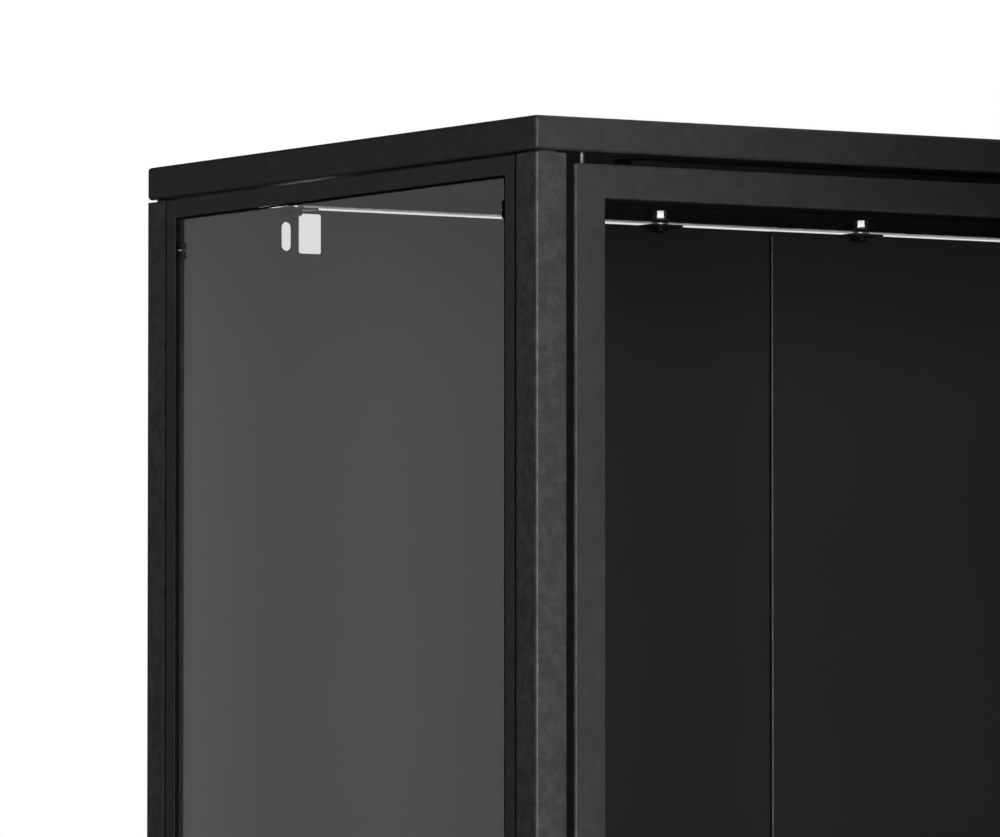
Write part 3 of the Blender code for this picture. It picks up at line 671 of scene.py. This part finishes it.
class BuildDoors(Operator):
    """Makes the two door frames with their panes, rubber channels and knobs"""

    bl_idname = "cabinet.doors"
    bl_label = "Doors"

    def execute(self, context):
        steel = context.scene.cabinet_steel
        doors = context.scene.cabinet_doors
        for side in SIDES:
            low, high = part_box(f"door_frame_{side}")
            seal_low, seal_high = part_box(f"door_seal_{side}")
            pane_low, pane_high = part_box(f"door_glass_{side}")
            bm = bmesh.new()
            block(bm, low, high)
            hole = shrunk(low, high, (doors.stile, 0, doors.rail))
            groove = shrunk(seal_low, seal_high, (-PLAY, -PLAY, -PLAY))
            pierce(bm, 1, (
                flat(*hole, 1, high.y), flat(*hole, 1, groove[1].y),
                flat(*groove, 1, groove[1].y), flat(*groove, 1, groove[0].y),
                flat(*hole, 1, groove[0].y), flat(*hole, 1, low.y)))
            round_off(bm, doors.edge, steel.steps, lambda edge: all(
                on_box(vert, low, high) for vert in edge.verts))
            put(f"door_tubes_{side}", bm, f"door_{side}",
                "door_coat", (f"door_frame_{side}",))

            bm = bmesh.new()
            block(bm, seal_low, seal_high)
            mouth = shrunk(hole[0], hole[1], (doors.seal_lip, 0, doors.seal_lip))
            slot = shrunk(pane_low, pane_high, (-PLAY, -PLAY, -PLAY))
            pierce(bm, 1, (
                flat(*mouth, 1, seal_high.y), flat(*mouth, 1, slot[1].y),
                flat(*slot, 1, slot[1].y), flat(*slot, 1, slot[0].y),
                flat(*mouth, 1, slot[0].y), flat(*mouth, 1, seal_low.y)))
            round_off(bm, doors.seal_wall * 0.35, 2, lambda edge: all(
                on_box(vert, seal_low, seal_high) for vert in edge.verts))
            put(f"door_channel_{side}", bm, f"door_{side}",
                "black_seal", (f"door_seal_{side}",))
            coat(f"door_glass_{side}", "pane_glass")
            self.knob(side)
        return {"FINISHED"}

    def knob(self, side):
        """A turned knob with a waisted neck and a softly crowned face."""
        low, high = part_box(f"door_knob_{side}")
        reach = (high.x - low.x) / 2
        length = high.y - low.y
        middle = (low + high) / 2
        profile = [(0, 0), (reach * 0.58, 0), (reach * 0.60, length * 0.02),
                   (reach * 0.60, length * 0.09), (reach * 0.56, length * 0.12)]
        for step in range(1, 9):
            turn = step / 8
            profile.append((reach * (0.42 + 0.50 * turn ** 3.0),
                            length * (0.16 + 0.52 * turn)))
        for step in range(0, 7):
            angle = math.pi / 2 * step / 6
            profile.append((reach * (0.94 + 0.06 * math.cos(angle)),
                            length * (0.72 + 0.04 * math.sin(angle) + 0.16 * step / 6)))
        for step in range(1, 8):
            angle = math.pi / 2 * step / 7
            profile.append((reach * 0.94 * math.cos(angle),
                            length * (0.92 + 0.08 * math.sin(angle))))
        bm = bmesh.new()
        turned(bm, profile, (middle.x, high.y, middle.z), (0, -1, 0), 64)
        put(f"turned_knob_{side}", bm, f"door_{side}", "door_coat",
            (f"door_knob_{side}",), 50.0)


class BuildBack(Operator):
    """Finishes the back sheets and adds a painted highlight strip at their seam and their
    outer folds
    """

    bl_idname = "cabinet.back"
    bl_label = "Back"

    def execute(self, context):
        for side in SIDES:
            coat(f"back_sheet_{side}", "back_coat")
        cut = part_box("back_sheet_right")[0].x
        # A strip coated much lighter along the seam: a painted highlight.
        self.strip("back_sheet_edge", "right", (cut + SEAM_HIGHLIGHT[0], cut + SEAM_HIGHLIGHT[1]),
                   SEAM_HIGHLIGHT_PROUD, 0.0003, 3, "cut_edge")
        for side, way in SIDES.items():
            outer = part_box(f"back_sheet_{side}")[(way + 1) // 2].x
            ridge = outer - way * FOLD_FROM_SIDE
            self.strip(f"back_sheet_fold_{side}", side,
                       (ridge - FOLD_HALF, ridge + FOLD_HALF), FOLD_PROUD, 0.0004, 4,
                       "back_coat")
        return {"FINISHED"}

    def strip(self, name, side, across, proud, radius, steps, finish):
        """A rounded upright strip on the inner face of a back sheet."""
        low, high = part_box(f"back_sheet_{side}")
        face = high.y - BACK_FLANGE
        bm = bmesh.new()
        block(bm, (across[0], face - proud, low.z + STRIP_FOOT),
              (across[1], face + STRIP_SINK, high.z - STRIP_HEAD))
        round_off(bm, radius, steps)
        put(name, bm, "cabinet", finish, (), 50.0)


class BuildTopBolts(Operator):
    """Makes the bolts, washers and flange nuts that hold the back to the top"""

    bl_idname = "cabinet.top_bolts"
    bl_label = "Top Bolts"

    def execute(self, context):
        fittings = context.scene.cabinet_fittings
        steel = context.scene.cabinet_steel
        lip_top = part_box("top_panel")[0].z + steel.sheet
        for number in range(1, 5):
            low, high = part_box(f"top_bolt_{number}")
            middle = (low + high) / 2
            at = Vector((middle.x, middle.y, 0))
            bm = bmesh.new()
            self.head(bm, at, low.z)
            put(f"bolt_head_{number}", bm, "cabinet", "black_oxide",
                (), 35.0)
            bm = bmesh.new()
            self.washer(bm, at, lip_top - steel.sheet - WASHER_DROP)
            self.nut(bm, at, lip_top + PLAY, high.z, fittings.flats)
            self.thread(bm, at, low.z + HEAD_HEIGHT, high.z, fittings)
            put(f"flange_nut_{number}", bm, "cabinet", "bright_zinc",
                (f"top_bolt_{number}",), 35.0)
        return {"FINISHED"}

    def head(self, bm, at, base):
        """A domed pan head, dome down, with a driver recess."""
        dome = 0.0018
        profile = [(0, 0.0011), (0.0009, 0.0011), (0.0012, 0.0002)]
        for step in range(7):
            angle = math.pi / 2 * step / 6
            profile.append((HEAD_RADIUS - dome + dome * math.sin(angle),
                            dome * (1 - math.cos(angle))))
        profile += [(HEAD_RADIUS, HEAD_HEIGHT - 0.0001),
                    (HEAD_RADIUS - 0.0001, HEAD_HEIGHT), (0, HEAD_HEIGHT)]
        turned(bm, profile, at + Vector((0, 0, base)))

    def washer(self, bm, at, base):
        """A flat washer between the tab and the lip."""
        rim, chamfer = WASHER_RADIUS, 0.0001
        turned(bm, [(BORE, 0.0), (rim - chamfer, 0.0), (rim, chamfer),
                    (rim, WASHER_HEIGHT - chamfer), (rim - chamfer, WASHER_HEIGHT),
                    (BORE, WASHER_HEIGHT), (BORE, 0.0)], at + Vector((0, 0, base)))

    def nut(self, bm, at, base, top, flats):
        """A hexagon nut with chamfered corners on a sloping flange."""
        turned(bm, [(BORE, 0.0), (0.00465, 0.0), (0.00475, 0.0002), (0.0047, 0.0005),
                    (0.0036, 0.0012), (BORE, 0.0012), (BORE, 0.0)],
               at + Vector((0, 0, base)))
        low = base + 0.0008
        corner = flats / math.sqrt(3)
        made = bmesh.ops.create_cone(bm, cap_ends=True, cap_tris=False, segments=6,
                                     radius1=corner, radius2=corner,
                                     depth=top - low)["verts"]
        rims = {edge for vert in made for edge in vert.link_edges}
        bmesh.ops.translate(bm, vec=at + Vector((0, 0, (low + top) / 2)), verts=made)
        bmesh.ops.bevel(bm, geom=list(rims), offset=0.00035, offset_type="OFFSET",
                        affect="EDGES", segments=3, profile=0.5, material=-1)

    def thread(self, bm, at, low, high, fittings):
        """The threaded shank, its crests as fine rings, ending in a small dome."""
        root = fittings.thread / 2 - fittings.pitch * 0.35
        crest = fittings.thread / 2
        profile = [(0, 0)]
        turns = int((high - low - 0.0004) / fittings.pitch)
        for turn in range(turns):
            profile += [(root, turn * fittings.pitch),
                        (crest, (turn + 0.5) * fittings.pitch)]
        profile += [(root, turns * fittings.pitch), (root * 0.8, high - low),
                    (0, high - low)]
        turned(bm, profile, at + Vector((0, 0, low)), sides=32)


class BuildPivots(Operator):
    """Turns the pivot pins and the bushes that carry the doors"""

    bl_idname = "cabinet.pivots"
    bl_label = "Pivots"

    def execute(self, context):
        for side in SIDES:
            for level, tip in (("top", 1), ("bottom", -1)):
                low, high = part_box(f"pivot_pin_{level}_{side}")
                middle = (low + high) / 2
                reach = (high.x - low.x) / 2
                length = high.z - low.z
                foot = Vector((middle.x, middle.y, low.z if tip > 0 else high.z))
                neck = length - PIN_HEAD
                bm = bmesh.new()
                turned(bm, [(0, 0), (PIN_RADIUS - 0.0004, 0), (PIN_RADIUS, 0.0004),
                            (PIN_RADIUS, neck), (reach - 0.0002, neck),
                            (reach, neck + 0.0002),
                            (reach, length - 0.0008), (reach - 0.0003, length - 0.0003),
                            (reach - 0.0010, length), (0.0012, length),
                            (0.0009, length - 0.0006), (0, length - 0.0006)],
                       foot, (0, 0, tip))
                put(f"pin_{level}_{side}", bm, "cabinet",
                    "dull_zinc", (f"pivot_pin_{level}_{side}",), 30.0)
            low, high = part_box(f"pivot_bush_{side}")
            middle = (low + high) / 2
            reach, height = (high.x - low.x) / 2, high.z - low.z
            bm = bmesh.new()
            turned(bm, [(BORE, 0), (reach - 0.0003, 0), (reach, 0.0003),
                        (reach, height * 0.45), (reach * 0.86, height * 0.55),
                        (reach * 0.86, height - 0.0003), (reach * 0.8, height),
                        (BORE, height), (BORE, 0)],
                   (middle.x, middle.y, low.z))
            put(f"bush_{side}", bm, "cabinet", "black_foot",
                (f"pivot_bush_{side}",), 35.0)
        return {"FINISHED"}


class BuildCatches(Operator):
    """Finishes the door stop and makes its magnetic catches"""

    bl_idname = "cabinet.catches"
    bl_label = "Stop and Catches"

    def execute(self, context):
        # The door stop gets the darkened coat: painted shade.
        coat("door_stop", "stop_coat")
        for side in SIDES:
            self.catch(side)
        return {"FINISHED"}

    def catch(self, side):
        """A moulded case with two pole plates that stand in a slot in its front."""
        low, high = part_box(f"magnetic_catch_{side}")
        lip, wall, bar = 0.0020, 0.0030, 0.0012
        face = Vector((low.x, low.y + 0.0004, low.z))
        bm = bmesh.new()
        block(bm, face, high)
        mouth = shrunk(face, high, (wall, 0, wall * 0.7))
        carve(bm, facing(bm, 1, -1), (flat(*mouth, 1, face.y),
                                      flat(*mouth, 1, face.y + lip)))
        round_off(bm, 0.0005, 3, lambda edge: all(
            on_box(vert, face, high) for vert in edge.verts))
        put(f"catch_case_{side}", bm, "cabinet", "catch_case",
            (f"magnetic_catch_{side}",), 35.0)
        bm = bmesh.new()
        for level in (mouth[0].z + 0.0002, mouth[1].z - 0.0002 - bar):
            plate = bmesh.new()
            block(plate, (mouth[0].x + 0.0006, low.y, level),
                  (mouth[1].x - 0.0006, face.y + lip - 0.0001, level + bar))
            round_off(plate, 0.0002, 2)
            scrap = bpy.data.meshes.new("pole")
            plate.to_mesh(scrap)
            plate.free()
            bm.from_mesh(scrap)
            bpy.data.meshes.remove(scrap)
        put(f"pole_plates_{side}", bm, "cabinet", "dull_zinc", (), 35.0)


class BuildShelves(Operator):
    """Finishes the glass shelves and their steel rails"""

    bl_idname = "cabinet.shelves"
    bl_label = "Shelves"

    def execute(self, context):
        number = 1
        while f"shelf_{number}" in frame["nodes"]:
            coat(f"shelf_{number}", "pane_glass")
            for side in SIDES:
                coat(f"shelf_rail_{number}_{side}", "post_coat")
            number += 1
        return {"FINISHED"}


class BuildStudio(Operator):
    """Lays the floor, hangs the lamps and stands the camera"""

    bl_idname = "cabinet.studio"
    bl_label = "Studio"

    def execute(self, context):
        studio = context.scene.cabinet_studio
        self.camera(context, studio)
        self.sky(context, studio)
        self.floor(studio)
        self.curtain()
        key = self.lamp("key_softbox", (-0.57, -1.30, 1.60), (-0.49, -0.2, 1.60),
                        (0.20, 1.3), studio.key, 0.80)
        side = self.lamp("side_softbox", (-1.25, 0.95, 1.95), (-0.4, 0.2, 1.75),
                         (0.5, 0.8), studio.side)
        right = self.lamp("right_softbox", (2.9, -2.2, 1.7), (0.3, -0.1, 1.2),
                          (0.7, 1.6), studio.right)
        rear = self.lamp("rear_softbox", (1.9, 3.6, 1.3), (0.0, 0.2, 1.0), (1.6, 1.6),
                         studio.rear)
        self.keep_off_glass(key, side, right, rear)
        spark = self.lamp("fastener_light", (-1.5, -2.0, 1.60), (0.0, 0.19, 1.78),
                          (2.6, 0.9), studio.spark)
        self.light_only(spark, ("flange_nut", "clip_bar"))
        inner = self.lamp("inner_softbox", (0.9, -3.4, 1.5), (0.1, 0.19, 1.5),
                          (1.5, 1.5), studio.inner)
        self.light_only(inner, "back_sheet")
        self.lamp("overhead_softbox", (0.0, 0.0, 7.0), (0, 0, 0.9), (5.0, 5.0),
                  studio.overhead)
        context.scene.view_settings.view_transform = "Standard"
        return {"FINISHED"}

    def camera(self, context, studio):
        """A long lens that looks slightly up at the near top corner."""
        data = bpy.data.cameras.new("camera")
        data.sensor_width = 36.0
        data.lens = studio.lens
        data.clip_start, data.clip_end = 0.1, 400.0
        ahead = Vector((math.sin(studio.heading) * math.cos(studio.tilt),
                        math.cos(studio.heading) * math.cos(studio.tilt),
                        math.sin(studio.tilt)))
        across = Vector((math.cos(studio.heading), -math.sin(studio.heading), 0))
        turn = Matrix((across, across.cross(ahead), -ahead)).transposed()
        item = bpy.data.objects.new("camera", data)
        item.matrix_world = Matrix.Translation(studio.eye) @ turn.to_4x4()
        context.scene.collection.objects.link(item)
        context.scene.camera = item

    def sky(self, context, studio):
        """White wherever it is seen, in glass and metal too, and soft as a light."""
        world = bpy.data.worlds.new("studio")
        world.use_nodes = True
        tree = world.node_tree
        path = add_node(tree, "ShaderNodeLightPath")
        seen = path.outputs["Is Camera Ray"]
        for name in ("Is Glossy Ray", "Is Transmission Ray"):
            seen = add_node(tree, "ShaderNodeMath", {0: seen, 1: path.outputs[name]},
                            operation="MAXIMUM").outputs[0]
        strength = spread(tree, seen, 0.0, 1.0, studio.fill, 1.0)
        tree.nodes["Background"].inputs["Color"].default_value = (1, 1, 1, 1)
        tree.links.new(strength, tree.nodes["Background"].inputs["Strength"])
        context.scene.world = world

    def floor(self, studio):
        """A wide pale floor that keeps the shadow and fades to white far out."""
        bm = bmesh.new()
        bmesh.ops.create_grid(bm, x_segments=1, y_segments=1, size=200.0)
        mesh = bpy.data.meshes.new("studio_floor")
        bm.to_mesh(mesh)
        bm.free()
        material, tree, shader, place = new_material("studio_floor")
        cloud = noise(tree, place, 1.5, 2.0)
        tree.links.new(blend_colours(tree, cloud, tuple(studio.floor_colour),
                                     shade(studio.floor_colour, 1.03)),
                       shader.inputs["Base Color"])
        shader.inputs["Roughness"].default_value = 0.9
        shader.inputs["Specular IOR Level"].default_value = 0.1
        distance = add_node(tree, "ShaderNodeVectorMath", {0: place},
                            operation="LENGTH").outputs["Value"]
        seen = add_node(tree, "ShaderNodeLightPath").outputs["Is Camera Ray"]
        far = add_node(tree, "ShaderNodeMath",
                       {0: seen, 1: spread(tree, distance, 1.2, 7.0, 0.55, 1.0)},
                       operation="MULTIPLY").outputs[0]
        white = add_node(tree, "ShaderNodeEmission")
        both = add_node(tree, "ShaderNodeMixShader",
                        {0: far, 1: shader.outputs[0], 2: white.outputs[0]})
        tree.links.new(both.outputs[0],
                       tree.nodes["Material Output"].inputs["Surface"])
        mesh.materials.append(material)
        item = bpy.data.objects.new("studio_floor", mesh)
        bpy.context.scene.collection.objects.link(item)

    def curtain(self):
        """A round dark curtain with one pale card, seen only in reflections."""
        bm = bmesh.new()
        height = 9.0
        bmesh.ops.create_cone(bm, cap_ends=False, segments=96, radius1=9.0,
                              radius2=3.0, depth=height)
        bmesh.ops.translate(bm, vec=(0, 0, height / 2), verts=bm.verts)
        mesh = bpy.data.meshes.new("studio_curtain")
        bm.to_mesh(mesh)
        bm.free()
        material, tree, shader, place = new_material("studio_curtain")
        card_centre, card_core, card_rim = (-4.9, 7.3, 2.1), 1.2, 3.6
        away = add_node(tree, "ShaderNodeVectorMath", {0: place, 1: card_centre},
                        operation="DISTANCE").outputs["Value"]
        card = spread(tree, away, card_core, card_rim, 1.0, 0.0)
        tree.links.new(blend_colours(tree, card, (0.02,) * 3, (0.62,) * 3),
                       shader.inputs["Emission Color"])
        shader.inputs["Base Color"].default_value = (0, 0, 0, 1)
        shader.inputs["Specular IOR Level"].default_value = 0.0
        shader.inputs["Emission Strength"].default_value = 1.0
        mesh.materials.append(material)
        item = bpy.data.objects.new("studio_curtain", mesh)
        bpy.context.scene.collection.objects.link(item)
        for ray in ("camera", "diffuse", "transmission", "shadow"):
            setattr(item, f"visible_{ray}", False)

    def lamp(self, name, place, aim, size, power, spread_angle=math.pi):
        """A rectangular softbox."""
        data = bpy.data.lights.new(name, "AREA")
        data.shape = "RECTANGLE"
        data.size, data.size_y = size
        data.energy = power
        data.spread = spread_angle
        item = bpy.data.objects.new(name, data)
        item.location = place
        item.rotation_euler = (Vector(aim) - Vector(place)).to_track_quat(
            "-Z", "Y").to_euler()
        item.visible_camera = False
        item.visible_transmission = False
        bpy.context.scene.collection.objects.link(item)
        return item

    def light_only(self, lamp, start):
        """Lets a lamp reach only the pieces whose names begin with start."""
        chosen = bpy.data.collections.new(lamp.name)
        for item in bpy.data.objects:
            if item.name.startswith(start):
                chosen.objects.link(item)
        lamp.light_linking.receiver_collection = chosen

    def keep_off_glass(self, *lamps):
        """Stops near softboxes from mirroring in the panes and shelves."""
        panes = bpy.data.collections.new("panes")
        for name, node in frame["nodes"].items():
            is_shelf = name.startswith("shelf_") and "rail" not in name
            if "glass" in name or is_shelf:
                panes.objects.link(node)
        for lamp in lamps:
            lamp.light_linking.receiver_collection = panes
        for member in panes.collection_objects:
            member.light_linking.link_state = "EXCLUDE"


class CabinetPanel(Panel):
    """Lists the cabinet's sizes, finishes and builders"""

    bl_idname = "VIEW3D_PT_cabinet"
    bl_label = "Display Cabinet"
    bl_space_type = "VIEW_3D"
    bl_region_type = "UI"
    bl_category = "Cabinet"

    def draw(self, context):
        layout = self.layout
        for name, group in GROUPS.items():
            column = layout.column(align=True)
            column.label(text=group.__name__.replace("Cabinet", ""))
            for prop in group.__annotations__:
                column.prop(getattr(context.scene, name), prop)
        for step in STEPS:
            layout.operator(step.bl_idname)


GROUPS = {
    "cabinet_steel": CabinetSteel,
    "cabinet_doors": CabinetDoors,
    "cabinet_fittings": CabinetFittings,
    "cabinet_studio": CabinetStudio,
}
STEPS = (BuildPanels, BuildPosts, BuildSideFrames, BuildDoors, BuildBack,
         BuildTopBolts, BuildPivots, BuildCatches, BuildShelves, BuildStudio)


def register():
    for item in (*GROUPS.values(), *STEPS, CabinetPanel):
        bpy.utils.register_class(item)
    for name, group in GROUPS.items():
        setattr(bpy.types.Scene, name, PointerProperty(type=group))


def unregister():
    for name in GROUPS:
        delattr(bpy.types.Scene, name)
    for item in (CabinetPanel, *reversed(STEPS), *reversed(GROUPS.values())):
        bpy.utils.unregister_class(item)


def main():
    register()
    for step in STEPS:
        group, name = step.bl_idname.split(".")
        getattr(getattr(bpy.ops, group), name)()


if __name__ == "__main__":
    main()
